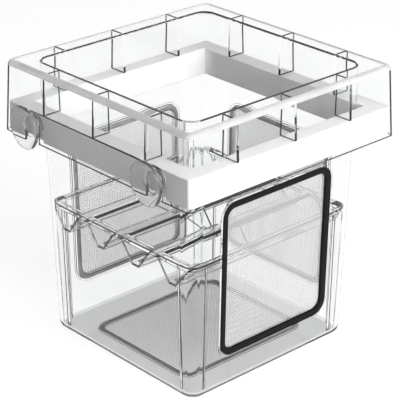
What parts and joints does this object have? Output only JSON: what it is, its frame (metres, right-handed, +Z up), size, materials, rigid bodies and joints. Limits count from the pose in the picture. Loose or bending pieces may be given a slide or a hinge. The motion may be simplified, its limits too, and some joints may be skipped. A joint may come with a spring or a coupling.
{
  "type": "fish breeding box",
  "caption": "Clear square breeding box on a foam float, with mesh windows in rubber gaskets, a lift-out tray of slotted V troughs and suction cups.",
  "frame": {"origin": "centre of the overall bounding box on the plane that the underside rests on; the box's own middle is 3.2 mm towards +X of it, because the suction cups stand out at low X", "axes": "+Z up; -X is the side with the two suction cups; -Y is the front wall, with a window; the tray's troughs run along X"},
  "size_m": [0.1908, 0.1844, 0.198],
  "materials": {
    "clear_shell": "clear, polished",
    "clear_tray": "clear, polished",
    "white_foam": "closed-cell foam, matt",
    "black_rubber": "satin",
    "steel_mesh": "fine woven wire",
    "soft_clear": "soft clear, glossy"
  },
  "bodies": {
    "box": {"box_body": "clear_shell", "float_ring": "white_foam", "gasket_front": "black_rubber", "mesh_front": "steel_mesh", "gasket_side": "black_rubber", "mesh_side": "steel_mesh", "gasket_back": "black_rubber", "mesh_back": "steel_mesh", "gasket_floor": "black_rubber", "mesh_floor": "steel_mesh"},
    "tray": {"fry_tray": "clear_tray"},
    "cup_left": {"suction_cup_left": "soft_clear"},
    "cup_right": {"suction_cup_right": "soft_clear"}
  },
  "joints": [
    {"name": "tray_lift", "type": "slide", "parent": "box", "child": "tray", "axis": [0, 0, 1], "range_m": [0, 0.2]},
    {"name": "cup_left_slide", "type": "slide", "parent": "box", "child": "cup_left", "axis": [-0.0441, 0, -0.999], "range_m": [0, 0.045]},
    {"name": "cup_right_slide", "type": "slide", "parent": "box", "child": "cup_right", "axis": [-0.0441, 0, -0.999], "range_m": [0, 0.045]}
  ]
}
